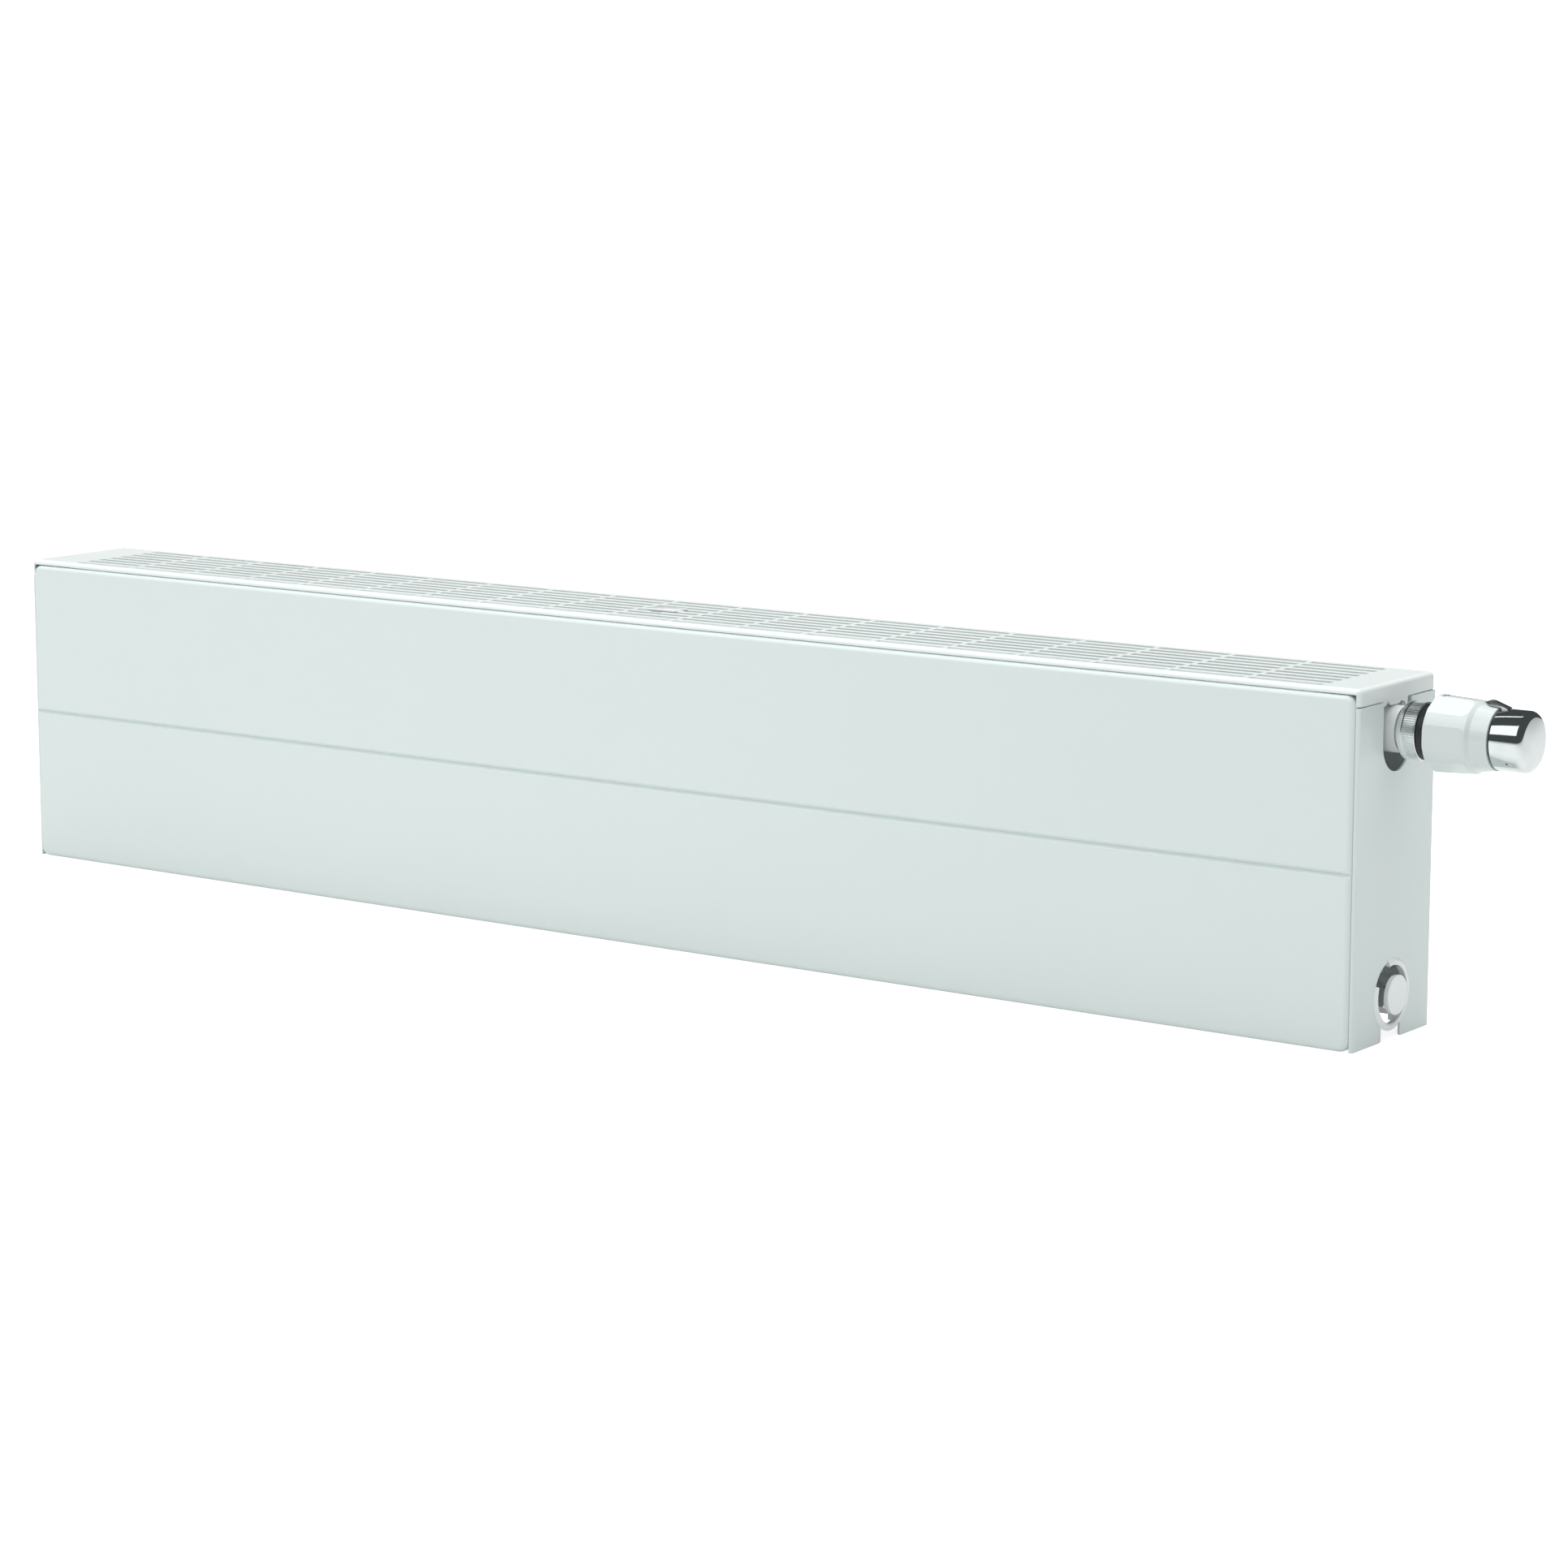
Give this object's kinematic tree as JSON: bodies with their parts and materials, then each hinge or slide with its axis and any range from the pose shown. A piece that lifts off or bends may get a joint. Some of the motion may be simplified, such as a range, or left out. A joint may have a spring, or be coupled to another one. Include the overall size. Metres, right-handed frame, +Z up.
{
  "type": "panel radiator with thermostatic valve",
  "caption": "Low white panel radiator with a flat grooved front, slotted top grille, closed side panels and a thermostatic valve head on one end.",
  "frame": {"origin": "centre of the whole object's footprint, at the height of the casing's lower edges", "axes": "+X along the radiator towards the valve head, front faces -Y, +Z up"},
  "size_m": [1.0872, 0.089, 0.2012],
  "materials": {
    "casing_enamel": "semi-gloss white powder coat",
    "grille_enamel": "semi-gloss white powder coat",
    "inner_enamel": "satin white dip coat",
    "fin_enamel": "satin white dip coat",
    "white_plastic": "gloss",
    "head_white": "gloss",
    "chrome": "polished",
    "nickel": "satin nickel plate",
    "brass": "turned",
    "spring_steel": "bright",
    "black_plastic": "moulded",
    "grey_plastic": "moulded",
    "fibre_seal": "fibre ring",
    "rubber": "moulded"
  },
  "bodies": {
    "radiator": {"front_plate": "casing_enamel", "right_side_panel": "casing_enamel", "left_side_panel": "casing_enamel", "grille_springs": "spring_steel", "right_pipe_rosette": "white_plastic", "left_pipe_rosette": "white_plastic", "right_slot_bridge": "white_plastic", "left_slot_bridge": "white_plastic", "front_water_panel_outer": "inner_enamel", "front_water_panel_inner": "inner_enamel", "rear_water_panel_inner": "inner_enamel", "rear_water_panel_outer": "inner_enamel", "front_convector": "fin_enamel", "rear_convector": "fin_enamel", "hanging_lugs": "inner_enamel", "valve_housing": "inner_enamel", "return_tee": "inner_enamel", "vent_tee": "inner_enamel", "drain_tee": "inner_enamel", "return_nipple": "inner_enamel", "supply_nipple": "inner_enamel", "riser_pipe": "inner_enamel", "right_plug": "chrome", "left_plug": "chrome", "right_plug_cap": "white_plastic", "left_plug_cap": "white_plastic", "right_plug_seal": "fibre_seal", "left_plug_seal": "fibre_seal", "vent_seal": "fibre_seal", "vent_body": "nickel", "valve_insert": "nickel", "stem_spring": "spring_steel", "stem_seal": "rubber", "head_base": "black_plastic", "head_body": "head_white"},
    "grille": {"top_grille": "grille_enamel", "grille_badge": "white_plastic"},
    "cap": {"setting_cap": "chrome", "cap_bearing": "black_plastic"},
    "sensor": {"sensor_cartridge": "grey_plastic", "push_pin": "grey_plastic"},
    "stem": {"valve_stem": "spring_steel", "valve_disc": "rubber"},
    "limiter": {"presetting_ring": "grey_plastic"},
    "nut": {"union_nut": "chrome"},
    "vent": {"vent_screw": "brass"}
  },
  "joints": [
    {"name": "grille_lift", "type": "slide", "parent": "radiator", "child": "grille", "axis": [0, 0, 1], "range_m": [0, 0.03]},
    {"name": "cap_turn", "type": "hinge", "parent": "radiator", "child": "cap", "pos_m": [0.4606, 0.00093, 0.1735], "axis": [1, 0, 0], "range_deg": [-140, 140]},
    {"name": "sensor_slide", "type": "slide", "parent": "radiator", "child": "sensor", "axis": [1, 0, 0], "range_m": [-0.0011, 0.0011]},
    {"name": "stem_slide", "type": "slide", "parent": "radiator", "child": "stem", "axis": [1, 0, 0], "range_m": [-0.0011, 0.0011]},
    {"name": "limiter_turn", "type": "hinge", "parent": "radiator", "child": "limiter", "pos_m": [0.4606, 0.00093, 0.1735], "axis": [1, 0, 0], "range_deg": [0, 300]},
    {"name": "union_nut_turn", "type": "hinge", "parent": "radiator", "child": "nut", "pos_m": [0.4606, 0.00093, 0.1735], "axis": [1, 0, 0], "continuous": true},
    {"name": "vent_screw_turn", "type": "hinge", "parent": "radiator", "child": "vent", "pos_m": [-0.5394, 0.00093, 0.1735], "axis": [-1, 0, 0], "range_deg": [0, 360]}
  ],
  "couplings": [
    {"joint": "sensor_slide", "follows": "cap_turn", "m_per_rad": 0.00045},
    {"joint": "stem_slide", "follows": "cap_turn", "m_per_rad": 0.00045}
  ]
}
